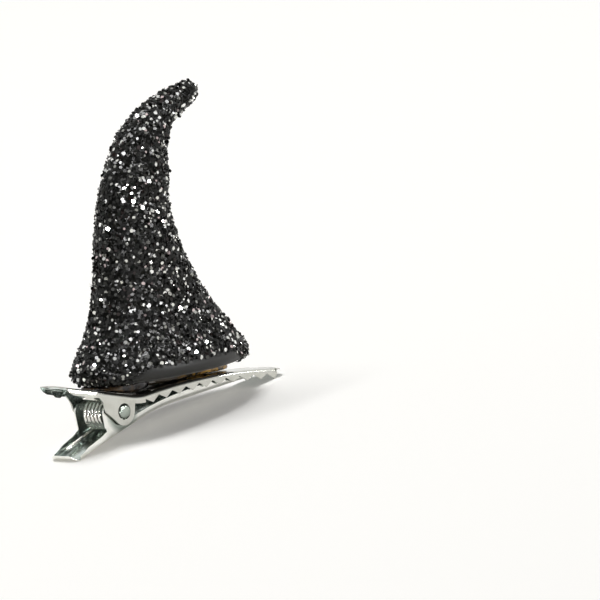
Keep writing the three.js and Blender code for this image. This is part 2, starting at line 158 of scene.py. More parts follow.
def mathNode(tree, kind, operation, *given):
    return addNode(tree, kind, dict(enumerate(given)), operation=operation)


def areaLight(name, place, aim, size, power, lightsMatt=True):
    data = bpy.data.lights.new(name, "AREA")
    data.shape = "SQUARE"
    data.size = size
    data.energy = power
    lamp = bpy.data.objects.new(name, data)
    lamp.location = place
    lamp.visible_diffuse = lightsMatt
    lamp.rotation_euler = (Vector(aim) - Vector(place)).to_track_quat("-Z", "Y").to_euler()
    scene.collection.objects.link(lamp)


def makeStudio():
    floorMesh = bmesh.new()
    bmesh.ops.create_grid(floorMesh, x_segments=1, y_segments=1, size=studio["floorSize"] / 2)
    data = bpy.data.meshes.new("floor")
    floorMesh.to_mesh(data)
    floorMesh.free()
    floor = bpy.data.objects.new("floor", data)
    scene.collection.objects.link(floor)
    paper = bpy.data.materials.new("white paper floor")
    paper.use_nodes = True
    fillInputs(paper.node_tree, paper.node_tree.nodes["Principled BSDF"], {
        "Base Color": studio["floorColour"], "Roughness": 0.9, "Specular IOR Level": 0.1,
        "Emission Color": studio["glowColour"], "Emission Strength": studio["floorGlow"]})
    data.materials.append(paper)
    target = studio["aim"]
    areaLight("key light", studio["keyPlace"], target, studio["keySize"], studio["keyPower"])
    # The strips and lamps show in shiny surfaces only, as highlights on steel and glitter
    for place, power in studio["strips"]:
        areaLight("strip light", place, target, studio["stripSize"], power, lightsMatt=False)
    for across, above in studio["lamps"]:
        # Angles in degrees from the camera's own direction
        turn = math.radians(180 + view["azimuth"] - across)
        rise = math.radians(above)
        out = Vector((math.sin(turn) * math.cos(rise), math.cos(turn) * math.cos(rise), math.sin(rise)))
        areaLight("lamp", out * studio["lampDistance"], target, studio["lampSize"],
                  studio["lampPower"], lightsMatt=False)

    world = bpy.data.worlds.new("pale backdrop, dark room")
    scene.world = world
    world.use_nodes = True
    tree = world.node_tree
    tree.nodes.clear()
    psi = math.radians(view["azimuth"])
    toCamera = (-math.sin(psi), -math.cos(psi), -studio["facingDrop"])
    place = addNode(tree, "TexCoord")
    facing = mathNode(tree, "VectorMath", "DOT_PRODUCT", place.outputs["Generated"], toCamera)
    ramp = addNode(tree, "MapRange", {
        "Value": facing.outputs["Value"], "From Min": studio["paleEdge"], "From Max": studio["darkEdge"],
        "To Min": studio["backdrop"], "To Max": studio["roomDark"]}, interpolation_type="SMOOTHSTEP")
    path = addNode(tree, "LightPath")
    # A mix takes its factor at 0 and its two strengths at 2 and 3
    matt = addNode(tree, "Mix", {0: path.outputs["Is Diffuse Ray"], 2: ramp.outputs["Result"],
                                 3: studio["roomFill"]})
    choose = addNode(tree, "Mix", {0: path.outputs["Is Camera Ray"], 2: matt.outputs[0],
                                   3: studio["backdropSeen"]})
    sky = addNode(tree, "Background", {"Color": (1.0, 1.0, 0.99, 1), "Strength": choose.outputs[0]})
    addNode(tree, "OutputWorld", {"Surface": sky.outputs["Background"]})
    scene.view_settings.view_transform = "Standard"
    scene.view_settings.look = "None"


makeStudio()
print("studio lit")


# Shared shader groups

def newGroup(name, inputs, outputs):
    group = bpy.data.node_groups.new(name, "ShaderNodeTree")
    for label, kind, value in inputs:
        socket = group.interface.new_socket(label, in_out="INPUT", socket_type="NodeSocket" + kind)
        socket.default_value = value
    for label, kind in outputs:
        group.interface.new_socket(label, in_out="OUTPUT", socket_type="NodeSocket" + kind)
    return group, group.nodes.new("NodeGroupInput"), group.nodes.new("NodeGroupOutput")


def mapped(tree, source, value, low, high, toLow, toHigh):
    node = addNode(tree, "MapRange", {"Value": source.outputs[value], "From Min": low, "From Max": high,
                                      "To Min": toLow, "To Max": toHigh})
    return node.outputs["Result"]


def noiseNode(tree, vector, scale, detail):
    return addNode(tree, "TexNoise", {"Vector": vector, "Scale": scale, "Detail": detail})


def mixColour(tree, factor, first, second):
    return addNode(tree, "Mix", {0: factor, 6: first, 7: second}, data_type="RGBA").outputs[2]


def makePlateWear():
    group, given, out = newGroup(
        "plated metal wear",
        [("Metal", "Color", (0.6, 0.6, 0.56, 1)), ("Stain", "Color", (0.4, 0.4, 0.36, 1)),
         ("Shine", "Float", 0.16), ("Dullness", "Float", 0.3), ("Scratch Depth", "Float", 0.15)],
        [("Color", "Color"), ("Roughness", "Float"), ("Normal", "Vector")],
    )
    place = addNode(group, "TexCoord").outputs["Object"]
    # The rolled grain runs along the clip
    stretch = addNode(group, "Mapping", {"Vector": place, "Scale": (0.12, 1.0, 1.0)})
    grain = noiseNode(group, stretch.outputs["Vector"], 5200, 4)
    cloud = noiseNode(group, place, 420, 4)
    pits = addNode(group, "TexVoronoi", {"Vector": place, "Scale": 1500})
    patches = mapped(group, cloud, "Fac", 0.46, 0.68, 0.0, 0.65)
    dents = mapped(group, pits, "Distance", 0.0, 0.12, 0.0, 1.0)
    height = mathNode(group, "Math", "MULTIPLY_ADD", dents, 0.25, grain.outputs["Fac"])
    bump = addNode(group, "Bump", {"Distance": 0.00002, "Strength": given.outputs["Scratch Depth"],
                                   "Height": height.outputs[0]})
    fillInputs(group, out, {
        "Color": mixColour(group, patches, given.outputs["Metal"], given.outputs["Stain"]),
        "Roughness": mapped(group, cloud, "Fac", 0.35, 0.7, given.outputs["Shine"],
                            given.outputs["Dullness"]),
        "Normal": bump.outputs["Normal"],
    })
    return group


def makeFacets():
    # Flat cells, each leaning its own way, as of glitter that lies in lacquer
    group, given, out = newGroup(
        "glitter facets",
        [("Scale", "Float", 2400.0), ("Lean", "Float", 0.6), ("Smooth", "Float", 0.0)],
        [("Normal", "Vector"), ("Tone", "Float")],
    )
    place = addNode(group, "TexCoord")
    cells = addNode(group, "TexVoronoi", {"Vector": place.outputs["Object"],
                                          "Scale": given.outputs["Scale"]})
    centred = mathNode(group, "VectorMath", "SUBTRACT", cells.outputs["Color"], (0.5, 0.5, 0.5))
    flatness = mathNode(group, "Math", "MULTIPLY_ADD", given.outputs["Smooth"], -1.0, 1.0)
    amount = mathNode(group, "Math", "MULTIPLY", given.outputs["Lean"], flatness.outputs[0])
    scaled = addNode(group, "VectorMath", {0: centred.outputs[0], "Scale": amount.outputs[0]},
                     operation="SCALE")
    surface = addNode(group, "NewGeometry")
    added = mathNode(group, "VectorMath", "ADD", surface.outputs["Normal"], scaled.outputs[0])
    unit = mathNode(group, "VectorMath", "NORMALIZE", added.outputs[0])
    split = addNode(group, "SeparateColor", {"Color": cells.outputs["Color"]})
    fillInputs(group, out, {"Normal": unit.outputs[0], "Tone": split.outputs["Green"]})
    return group


plateWear = makePlateWear()
facets = makeFacets()


def newMaterial(name):
    material = bpy.data.materials.new(name)
    material.use_nodes = True
    return material, material.node_tree, material.node_tree.nodes["Principled BSDF"]


hingeShadeRing = (2.5, 3.3)  # millimetres from the hinge's axis, painted shade up to the first, plain plating beyond the second


def hingeShadeMask(tree):
    # 1 on the ring of painted shade round the hinge on the lower jaw's ears, 0 beyond it
    place = addNode(tree, "TexCoord")
    axis = (hinge.x * mm, 0, hinge.z * mm)
    offset = mathNode(tree, "VectorMath", "SUBTRACT", place.outputs["Object"], axis)
    flat = mathNode(tree, "VectorMath", "MULTIPLY", offset.outputs[0], (1, 0, 1))
    reach = mathNode(tree, "VectorMath", "LENGTH", flat.outputs[0])
    return mapped(tree, reach, "Value", hingeShadeRing[0] * mm, hingeShadeRing[1] * mm, 1.0, 0.0)


def platedMetal(name, metal, stain, shine, dullness, depth, hingeShade=None):
    material, tree, shader = newMaterial(name)
    wear = addNode(tree, "Group", node_tree=plateWear)
    fillInputs(tree, wear, {"Metal": metal, "Stain": stain, "Shine": shine, "Dullness": dullness,
                            "Scratch Depth": depth})
    colour = wear.outputs["Color"]
    # Where a shade colour is given, it is painted on the ring round the hinge
    if hingeShade is not None:
        colour = mixColour(tree, hingeShadeMask(tree), colour, hingeShade)
    fillInputs(tree, shader, {"Metallic": 1.0, "Base Color": colour, "Normal": wear.outputs["Normal"],
                              "Roughness": wear.outputs["Roughness"]})
    return material


steelOutside = platedMetal("plated steel", (0.56, 0.56, 0.52, 1), (0.44, 0.44, 0.39, 1),
                           shine=0.12, dullness=0.27, depth=0.16)
# Painted shade with a teal painted reflection: a darker copy of the plating for the inner faces
steelPaintedShadeInside = platedMetal("plated steel, painted shade on inner faces", (0.5, 0.56, 0.53, 1), (0.32, 0.37, 0.34, 1),
                          shine=0.14, dullness=0.3, depth=0.2)
# A lighter copy of the plating, painted light for the lower jaw, with painted shade round the hinge
steelPaintedLight = platedMetal("plated steel, painted light", (0.84, 0.84, 0.8, 1), (0.68, 0.68, 0.62, 1),
                          shine=0.12, dullness=0.27, depth=0.16, hingeShade=(0.34, 0.38, 0.34, 1))
springSteel = platedMetal("spring wire", (0.68, 0.67, 0.63, 1), (0.5, 0.48, 0.43, 1),
                          shine=0.1, dullness=0.2, depth=0.1)


def duller(tree, most):
    # Shine that fades where the surface turns away, which keeps the horn's sides dark
    edge = addNode(tree, "LayerWeight", {"Blend": 0.4})
    return mapped(tree, edge, "Facing", 0.1, 0.75, most, 0.02)


def glitterBody():
    material, tree, shader = newMaterial("black lacquer under glitter")
    bare = addNode(tree, "Attribute", attribute_name="bareBand")
    cells = addNode(tree, "Group", node_tree=facets)
    fillInputs(tree, cells, {"Scale": 2600.0, "Lean": 0.75, "Smooth": bare.outputs["Fac"]})
    tones = mixColour(tree, cells.outputs["Tone"], (0.001, 0.001, 0.001, 1), (0.008, 0.008, 0.006, 1))
    fillInputs(tree, shader, {
        "Base Color": mixColour(tree, bare.outputs["Fac"], tones, (0.011, 0.0105, 0.0085, 1)),
        "Normal": cells.outputs["Normal"],
        "Roughness": mapped(tree, bare, "Fac", 0.0, 1.0, 0.22, 0.42),
        "Specular IOR Level": mapped(tree, bare, "Fac", 0.0, 1.0, duller(tree, 0.22), 0.4),
    })
    return material


def glitterFlake():
    # Most flakes are near black, the few with a tone above silverFrom are metal
    silverFrom = 0.83
    material, tree, shader = newMaterial("black glitter")
    tone = addNode(tree, "Attribute", attribute_name="flakeTone")
    tint = addNode(tree, "ValToRGB", {"Fac": tone.outputs["Fac"]})
    tint.color_ramp.interpolation = "CONSTANT"
    tint.color_ramp.elements[0].color = (0.0015, 0.0015, 0.001, 1)
    tint.color_ramp.elements[1].position = 0.94
    tint.color_ramp.elements[1].color = (0.9, 0.9, 0.88, 1)
    for spot, colour in ((0.35, (0.006, 0.006, 0.0045, 1)), (0.62, (0.014, 0.014, 0.011, 1)),
                         (0.74, (0.022, 0.014, 0.013, 1)), (0.78, (0.014, 0.017, 0.014, 1)),
                         (silverFrom, (0.3, 0.3, 0.28, 1)), (0.88, (0.6, 0.5, 0.5, 1)),
                         (0.895, (0.7, 0.7, 0.66, 1))):
        tint.color_ramp.elements.new(spot).color = colour
    silvery = mathNode(tree, "Math", "GREATER_THAN", tone.outputs["Fac"], silverFrom)
    fillInputs(tree, shader, {
        "Base Color": tint.outputs["Color"], "Metallic": silvery.outputs[0],
        "Roughness": mapped(tree, tone, "Fac", 0.0, 1.0, 0.2, 0.06),
        "Specular IOR Level": duller(tree, 0.32),
    })
    return material


def hotGlue(name, clear, paintedShade, clearFrom, clearTo):
    # Painted shade: the shaded colour, for the glue in the horn's shade, turns to the clear one towards
    # the lit end, in patches, over a run along the clip in millimetres
    material, tree, shader = newMaterial(name)
    place = addNode(tree, "TexCoord").outputs["Object"]
    swirl = noiseNode(tree, place, 1300, 4)
    split = addNode(tree, "SeparateXYZ", {"Vector": place})
    along = mapped(tree, split, "X", clearFrom * mm, clearTo * mm, 0.0, 1.0)
    patches = mapped(tree, swirl, "Fac", 0.42, 0.62, 0.0, 1.0)
    amount = mathNode(tree, "Math", "MULTIPLY", along, patches)
    ripple = noiseNode(tree, place, 1700, 3)
    bump = addNode(tree, "Bump", {"Distance": 0.0001, "Strength": 0.7, "Height": ripple.outputs["Fac"]})
    fillInputs(tree, shader, {
        "Base Color": mixColour(tree, amount.outputs[0], paintedShade, clear), "IOR": 1.5,
        "Normal": bump.outputs["Normal"],
        "Roughness": mapped(tree, swirl, "Fac", 0.35, 0.7, 0.06, 0.2),
        "Transmission Weight": mapped(tree, amount, 0, 0.0, 1.0, 0.0, 0.4),
    })
    return material


lacquer = glitterBody()
glitter = glitterFlake()
# Painted shade on both glues: darkest in the horn's shade, clearer towards the lit end
amberGlue = hotGlue("amber glue", (0.9, 0.5, 0.1, 1), (0.03, 0.02, 0.01, 1),
                    clearFrom=0.5, clearTo=9.0)
darkGlue = hotGlue("glue in the horn's shade", (0.25, 0.15, 0.06, 1), (0.012, 0.01, 0.012, 1),
                   clearFrom=-6.0, clearTo=-18.0)
print("materials ready")


# Making and finishing pieces

def newPiece(name, bm, material):
    data = bpy.data.meshes.new(name)
    bm.to_mesh(data)
    bm.free()
    data.shade_smooth()
    data.materials.append(material)
    piece = bpy.data.objects.new(name, data)
    scene.collection.objects.link(piece)
    return piece


def applyModifiers(piece):
    bpy.context.view_layer.update()
    made = bpy.data.meshes.new_from_object(piece.evaluated_get(bpy.context.evaluated_depsgraph_get()))
    piece.modifiers.clear()
    piece.data = made


def cutOrJoin(piece, other, operation):
    tool = newPiece(piece.name + "_tool", other, piece.data.materials[0])
    modifier = piece.modifiers.new("shape", "BOOLEAN")
    modifier.operation = operation
    modifier.object = tool
    modifier.solver = "EXACT"
    applyModifiers(piece)
    bpy.data.objects.remove(tool)


def thicken(piece, thickness):
    modifier = piece.modifiers.new("sheet", "SOLIDIFY")
    modifier.thickness = thickness * mm
    modifier.offset = -1
    modifier.use_even_offset = False
    modifier.thickness_clamp = 1.0
    # The inner faces take the piece's second material, which carries the painted shade
    modifier.material_offset = 1
    applyModifiers(piece)


def softenEdges(piece, width, angle=38):
    modifier = piece.modifiers.new("edge", "BEVEL")
    modifier.width = width * mm
    modifier.segments = 2
    modifier.limit_method = "ANGLE"
    modifier.angle_limit = math.radians(angle)
    modifier.harden_normals = True
    modifier.use_clamp_overlap = True


def gridSheet(rowCount, columnCount, place, upwards):
    sheet = bmesh.new()
    bmesh.ops.create_grid(sheet, x_segments=rowCount - 1, y_segments=columnCount - 1, size=1)
    for vert in sheet.verts:
        row = round((vert.co.x + 1) / 2 * (rowCount - 1))
        column = round((vert.co.y + 1) / 2 * (columnCount - 1))
        vert.co = place(row, column)
    sheet.normal_update()
    middle = max(sheet.faces, key=lambda face: abs(face.normal.z) * face.calc_area())
    if (middle.normal.z > 0) != upwards:
        bmesh.ops.reverse_faces(sheet, faces=sheet.faces)
    return sheet


# The clip's pressed jaws

# Lengths in millimetres, reaches from the hinge; tilts and sweeps in degrees
clip = {
    "sheet": 0.45,
    "fold": 0.6,
    "jawGap": 0.08,
    "crease": 0.05,
    "edgeRound": 0.06,
    "wallSteps": 4,
    "foldSteps": 6,
    "crownSteps": 4,
    "kneeReach": 3.6,      # upper jaw
    "kneeRise": 1.38,
    "kneeBlend": 1.6,
    "handleTilt": 22.1,
    "noseTilt": 1.7,
    "upperCrown": 0.14,
    "noseWidth": 5.1,
    "tabReach": 9.1,
    "tabWidth": 5.6,
    "wallDepth": 0.88,
    "toothDepth": 0.82,
    "toothPitch": 2.82,
    "toothCount": 10,
    "firstTooth": 6.0,
    "noseLip": 0.7,
    "cheekDepth": 1.38,
    "tabLobe": 0.28,
    "earRadius": 2.05,
    "earBack": 3.45,
    "earShoulder": 0.9,
    "earFront": 2.35,
    "holeRadius": 1.2,
    "dimpleRadius": 1.08,  # lower jaw
    "dimpleRise": 0.95,
    "dimpleWall": 0.35,
    "dimpleFlat": 0.62,    # share of the radius that is flat on top
    "dimpleShoulder": 0.35,  # share of the rise where the edge starts to round
    "innerEarRadius": 1.85,
    "innerEarBack": 3.6,
    "innerEarCorner": 1.45,
    "earSetback": 0.15,
    "lowerNoseReach": 26.9,
    "lowerKneeReach": 5.0,
    "lowerKneeBlend": 6.0,
    "lowerTilt": 10.2,
    "lowerNoseTilt": 2.7,
    "lowerBelly": 0.5,
    "earBelly": 0.2,
    "heelBelly": 0.04,
    "lowerSide": 0.98,
    "scoopWidth": 5.7,
    "rimRadius": 1.15,
    "rimSweep": 86,
    "rimNarrowing": 0.3,
}

earHalf = upperBox[1].y / mm
noseReach = upperBox[1].x / mm - hinge.x
handleReach = hinge.x - lowerBox[0].x / mm
lastTooth = clip["firstTooth"] + clip["toothPitch"] * (clip["toothCount"] - 1)
wallEnd = lastTooth + clip["noseLip"]
innerHalf = earHalf - clip["sheet"] - clip["jawGap"]
handleSlope = math.tan(math.radians(clip["handleTilt"]))
noseSlope = math.tan(math.radians(clip["noseTilt"]))
lowerSlope = math.tan(math.radians(clip["lowerTilt"]))
lowerNoseSlope = math.tan(math.radians(clip["lowerNoseTilt"]))
rimRun = (math.sin(math.radians(clip["lowerTilt"]))
          + math.sin(math.radians(clip["rimSweep"] - clip["lowerTilt"])))
heelReach = handleReach - clip["rimRadius"] * rimRun
kneeHeight = hinge.z + clip["kneeRise"]
noseRun = lastTooth - clip["kneeReach"]
noseArch = (kneeHeight - noseSlope * noseRun - clip["wallDepth"] - clip["toothDepth"]) / noseRun ** 2
columnsPerSide = clip["wallSteps"] + clip["foldSteps"] + clip["crownSteps"]


def bentLine(x, corner, height, slopeBack, slopeFront, blend):
    d = x - corner
    if d <= -blend:
        return height + slopeBack * d
    if d >= blend:
        return height + slopeFront * d
    return height + slopeBack * d + (slopeFront - slopeBack) * (d + blend) ** 2 / (4 * blend)


def upperTop(x):
    straight = bentLine(x, clip["kneeReach"], kneeHeight, -handleSlope, -noseSlope, clip["kneeBlend"])
    return straight - noseArch * max(0, x - clip["kneeReach"]) ** 2


def lowerBottom(x):
    height = lowerSlope * (clip["lowerKneeReach"] + heelReach)
    return bentLine(x, clip["lowerKneeReach"], height, lowerSlope, -lowerNoseSlope,
                    clip["lowerKneeBlend"])


def leanOf(height, x):
    d = clip["crease"]
    return math.atan((height(x + d) - height(x - d)) / (2 * d))


def upperHalf(x):
    if x > clip["earFront"]:
        t = (x - clip["earFront"]) / (lastTooth - clip["earFront"])
        return lerp(earHalf, clip["noseWidth"] / 2, t)
    tabStart = -clip["earBack"] - clip["earShoulder"]
    if x > tabStart:
        return earHalf
    t = min(1, (tabStart - x) / (clip["tabReach"] + tabStart))
    return lerp(earHalf, clip["tabWidth"] / 2, t)


def lowerHalf(x):
    if x > -clip["earBack"]:
        return upperHalf(x) - clip["sheet"] - clip["jawGap"]
    t = min(1, (-clip["earBack"] - x) / (heelReach - clip["earBack"]))
    return lerp(innerHalf, clip["scoopWidth"] / 2, t)


def sectionPoint(row, step):
    # Across the sheet from its side edge, over the fold, to its middle
    fold = min(clip["fold"], row["half"] * 0.6, max(0.12, row["side"] - row["belly"] - 0.03))
    side = max(row["side"], row["belly"] + fold + 0.03)
    if step <= clip["wallSteps"]:
        return row["half"], lerp(side, row["belly"] + fold, step / clip["wallSteps"])
    step -= clip["wallSteps"]
    if step <= clip["foldSteps"]:
        a = step / clip["foldSteps"] * math.pi / 2
        return row["half"] - fold + fold * math.cos(a), row["belly"] + fold - fold * math.sin(a)
    step -= clip["foldSteps"]
    y = (row["half"] - fold) * (1 - step / clip["crownSteps"])
    return y, row["belly"] * (1 - step / clip["crownSteps"]) ** 2


def sectionPlace(row, step, walls):
    y, n = sectionPoint(row, step)
    x = row["x"] - walls * n * math.sin(row["lean"])
    z = row["z"] + walls * n * math.cos(row["lean"])
    return x, y, z


def sheetPlace(rows, walls):
    # A row with an edge has its wall drawn out to that point, as at an ear or a tooth
    def place(index, column):
        row = rows[index]
        step = min(column, 2 * columnsPerSide - column)
        x, y, z = sectionPlace(row, step, walls)
        if "edge" in row and step < clip["wallSteps"]:
            xFold, y, zFold = sectionPlace(row, clip["wallSteps"], walls)
            share = step / clip["wallSteps"]
            x = lerp(row["edge"][0], xFold, share)
            z = lerp(row["edge"][1], zFold, share)
        sign = -1 if column <= columnsPerSide else 1
        return Vector((hinge.x + x, sign * y, z)) * mm
    return place


def alongPath(points, count):
    # Evenly spaced points along a line of straight stretches
    lengths = [0.0]
    for a, b in zip(points, points[1:]):
        lengths.append(lengths[-1] + math.dist(a, b))
    wanted = np.linspace(0, lengths[-1], count)
    xs = np.interp(wanted, lengths, [p[0] for p in points])
    zs = np.interp(wanted, lengths, [p[1] for p in points])
    return list(zip(xs, zs))


def arcPoints(radius, fromAngle, toAngle, count):
    angles = np.radians(np.linspace(fromAngle, toAngle, count))
    return [(radius * math.cos(a), hinge.z + radius * math.sin(a)) for a in angles]


def toothDrop(x):
    index = min(clip["toothCount"] - 1, max(0, round((x - clip["firstTooth"]) / clip["toothPitch"])))
    ahead = x - clip["firstTooth"] - clip["toothPitch"] * index
    reach = clip["noseLip"] if ahead > 0 and index == clip["toothCount"] - 1 else clip["toothPitch"] / 2
    return clip["wallDepth"] + clip["toothDepth"] * max(0, 1 - abs(ahead) / reach)


def smoothProfile(rows, share):
    # Eased from each (share, value) to the next
    for (a, low), (b, high) in zip(rows, rows[1:]):
        if share <= b:
            t = max(0, (share - a) / (b - a))
            return lerp(low, high, t * t * (3 - 2 * t))
    return rows[-1][1]


# Shares of the run from the tab's open end to the ears, with the side edge's depth in millimetres
tabEndDepth = [(0, 0.3), (0.03, 0.5), (0.08, 0.72), (0.14, 0.9), (0.2, 1.04), (0.27, 1.15)]
# The same shares, with how much of the lobe hangs down there
tabLobeShare = [(0, 0), (0.5, 0), (0.6, 1), (0.74, 1), (0.84, 0), (1, 0)]
# The outer ear's rear edge, behind and above the hinge, in millimetres
earRear = [(4.12, 3.3), (3.72, 2.65), (3.42, 1.9), (3.32, 0.85), (2.78, 0.2)]


def makeRow(line, x, side, half, belly, edge):
    row = {"x": x, "z": line(x), "lean": leanOf(line, x), "side": side, "half": half, "belly": belly}
    if edge is not None:
        row["edge"] = edge
    return row


def upperRows():
    rows = []

    def add(x, side, half=None, edge=None):
        wide = upperHalf(x) if half is None else half
        rows.append(makeRow(upperTop, x, side, wide, clip["upperCrown"], edge))

    tabShares = [0, 0.03, 0.08, 0.14, 0.2] + [0.27 + 0.034 * i for i in range(18)] + [0.88]
    for share in tabShares:
        side = float(np.interp(share, *zip(*tabEndDepth)))
        side += clip["tabLobe"] * smoothProfile(tabLobeShare, share)
        add(lerp(-clip["tabReach"], -clip["earBack"], share), side)

    earTop = -clip["earBack"] - clip["earShoulder"] * 0.72
    outline = [(-back, hinge.z + above) for back, above in earRear]
    outline += arcPoints(clip["earRadius"], 206, 340, 16)
    outline.append((clip["earFront"], upperTop(clip["earFront"]) - clip["cheekDepth"]))
    earSteps = 34
    edges = alongPath(outline, earSteps + 1)
    for i, edge in enumerate(edges):
        add(lerp(earTop, clip["earFront"], i / earSteps), clip["cheekDepth"], edge=edge)

    windowEnd = clip["firstTooth"] - clip["toothPitch"] / 2
    for share in (0.12, 0.35, 0.6, 0.8, 0.97):
        x = lerp(clip["earFront"], windowEnd, share)
        add(x, clip["cheekDepth"], edge=(x, upperTop(x) - clip["cheekDepth"]))
    stations = [windowEnd + clip["toothPitch"] / 4 * i for i in range(4 * clip["toothCount"] - 1)]
    stations += [lerp(lastTooth, wallEnd, 0.5), wallEnd]
    for x in stations:
        add(x, clip["wallDepth"], edge=(x, upperTop(x) - toothDrop(x)))
    # The rounded end: shares of the run past the walls, and of the nose's width
    for share, wide in ((0.04, 0.995), (0.3, 0.97), (0.6, 0.9), (0.8, 0.8), (0.93, 0.7), (1.0, 0.6)):
        add(lerp(wallEnd, noseReach, share), 0, half=clip["noseWidth"] / 2 * wide)
    return rows


def cylinderTool(radius, halfLength):
    tool = bmesh.new()
    turn = Matrix.Translation(Vector((hinge.x, 0, hinge.z)) * mm) @ Matrix.Rotation(math.pi / 2, 4, "X")
    bmesh.ops.create_cone(tool, cap_ends=True, segments=48, radius1=radius * mm,
                          radius2=radius * mm, depth=2 * halfLength * mm, matrix=turn)
    return tool


def makeUpperJaw():
    rows = upperRows()
    sheet = gridSheet(len(rows), 2 * columnsPerSide + 1, sheetPlace(rows, -1), True)
    jaw = newPiece("toothed_jaw", sheet, steelOutside)
    jaw.data.materials.append(steelPaintedShadeInside)
    thicken(jaw, clip["sheet"])
    cutOrJoin(jaw, cylinderTool(clip["holeRadius"], earHalf + 1), "DIFFERENCE")
    softenEdges(jaw, clip["edgeRound"])
    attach(jaw, "upper")
    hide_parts("upper_jaw")


makeUpperJaw()
print("toothed jaw pressed")


# Shares of the run from the rim to the inner ears, with the side edge's height in millimetres
scoopSide = [(0, 0.72), (0.12, 0.78), (0.24, 0.95), (0.34, 1.14), (0.55, 1.24), (0.8, 1.34), (0.9, 1.42),
             (0.95, 1.5), (1, 1.6)]
# Shares of the run from the inner ears to the nose, with the same
noseSide = [(0, 1.36), (0.2, 1.44), (0.5, 1.58), (0.66, 1.52), (0.82, 1.2), (0.92, 0.9), (1, 0.6)]


def lowerRows():
    rows = []

    def add(x, side, half=None, belly=None, edge=None):
        wide = lowerHalf(x) if half is None else half
        deep = clip["lowerBelly"] if belly is None else belly
        rows.append(makeRow(lowerBottom, x, side, wide, deep, edge))

    rimStart = -heelReach
    flat = leanOf(lowerBottom, rimStart)
    rimSteps = 9
    for i in range(rimSteps, 0, -1):
        t = i / rimSteps
        lean = flat - math.radians(clip["rimSweep"]) * t
        rows.append({
            "x": rimStart + clip["rimRadius"] * (math.sin(lean) - math.sin(flat)),
            "z": lowerBottom(rimStart) + clip["rimRadius"] * (math.cos(flat) - math.cos(lean)),
            "lean": lean, "side": 0, "belly": lerp(clip["heelBelly"], clip["heelBelly"] / 2, t),
            "half": clip["scoopWidth"] / 2 * (1 - clip["rimNarrowing"] * t ** 2),
        })
    shares = [0.04 * i for i in range(24)] + [0.95, 0.96, 0.975, 0.985]
    for share in shares:
        x = lerp(rimStart, -clip["innerEarBack"], share)
        side = float(np.interp(share, *zip(*scoopSide)))
        add(x, side, belly=lerp(clip["heelBelly"], clip["earBelly"], share))

    earStart = -clip["innerEarBack"]
    earEnd = clip["earFront"] - clip["earSetback"]
    foot = lowerBottom(earStart) + scoopSide[-1][1]
    corner = clip["innerEarCorner"]
    top = clip["innerEarRadius"]
    outline = [(earStart, foot)]
    outline += [(earStart + corner * (1 - math.sin(a)), hinge.z + top - corner * (1 - math.cos(a)))
                for a in np.linspace(math.pi / 2, 0, 9)]
    outline += arcPoints(top, 90, 20, 10)
    outline.append((earEnd, lowerBottom(earEnd) + noseSide[0][1]))
    earSteps = 40
    for i, edge in enumerate(alongPath(outline, earSteps + 1)):
        add(lerp(earStart, earEnd, i / earSteps), clip["lowerSide"], belly=clip["earBelly"], edge=edge)

    noseSteps = 28
    tipLength = 1.0
    for i in range(1, noseSteps + 1):
        t = i / noseSteps
        x = lerp(earEnd, clip["lowerNoseReach"] - tipLength, t)
        swell = lerp(clip["earBelly"], clip["lowerBelly"], min(1, 4 * t))
        add(x, float(np.interp(t, *zip(*noseSide))), belly=lerp(swell, clip["lowerBelly"] * 0.2, t))
    # The rounded end: shares of the tip's length, and of its width
    tipHalf = lowerHalf(clip["lowerNoseReach"])
    for share, wide in ((0.3, 0.97), (0.6, 0.88), (0.85, 0.74), (1.0, 0.6)):
        add(clip["lowerNoseReach"] - tipLength * (1 - share), 0, half=tipHalf * wide,
            belly=clip["lowerBelly"] * 0.1)
    return rows


def dimpleTool(side, inset):
    # A flat-topped dome turned about the hinge axis, standing out of the inner ear
    radius = clip["dimpleRadius"] - inset
    base = innerHalf - (clip["sheet"] + 0.02 if inset else clip["sheet"] * 0.4)
    top = innerHalf + clip["dimpleRise"] - inset * 0.6
    shoulder = lerp(innerHalf, top, clip["dimpleShoulder"])
    flat = clip["dimpleFlat"]
    profile = [(0, base), (radius, base), (radius, shoulder)]
    roundSteps = 5
    for i in range(1, roundSteps + 1):
        a = i / roundSteps * math.pi / 2
        profile.append((radius * (flat + (1 - flat) * math.cos(a)), lerp(shoulder, top, math.sin(a))))
    profile.append((0, top))
    tool = bmesh.new()
    centre = Vector((hinge.x, 0, hinge.z)) * mm
    verts = [tool.verts.new(centre + Vector((r, side * y, 0)) * mm) for r, y in profile]
    edges = [tool.edges.new(pair) for pair in zip(verts, verts[1:])]
    bmesh.ops.spin(tool, geom=verts + edges, cent=centre, axis=(0, 1, 0), angle=math.tau, steps=40,
                   use_merge=True)
    bmesh.ops.remove_doubles(tool, verts=tool.verts, dist=0.001 * mm)
    bmesh.ops.recalc_face_normals(tool, faces=tool.faces)
    return tool


def makeLowerJaw():
    rows = lowerRows()
    sheet = gridSheet(len(rows), 2 * columnsPerSide + 1, sheetPlace(rows, 1), False)
    jaw = newPiece("smooth_jaw", sheet, steelPaintedLight)
    jaw.data.materials.append(steelPaintedShadeInside)
    thicken(jaw, clip["sheet"])
    for side in (-1, 1):
        cutOrJoin(jaw, dimpleTool(side, 0), "UNION")
        cutOrJoin(jaw, dimpleTool(side, clip["dimpleWall"]), "DIFFERENCE")
    softenEdges(jaw, clip["edgeRound"])
    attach(jaw, "lower")
    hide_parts("lower_jaw")


makeLowerJaw()
print("smooth jaw pressed")


# The torsion spring

coil = {
    "wire": 0.55,
    "outside": 4.55,
    "turns": 5,
    "sideGap": 0.36,
    "floorGap": 0.22,
    "back": 1.0,
    "upperLeg": 5.2,
    "lowerLeg": 7.4,
    "upperLag": 0.6,
    "lowerLead": 0.6,
    "inset": 0.7,
    "endTaper": 0.7,
    "sides": 14,
    "stepsPerTurn": 44,
}


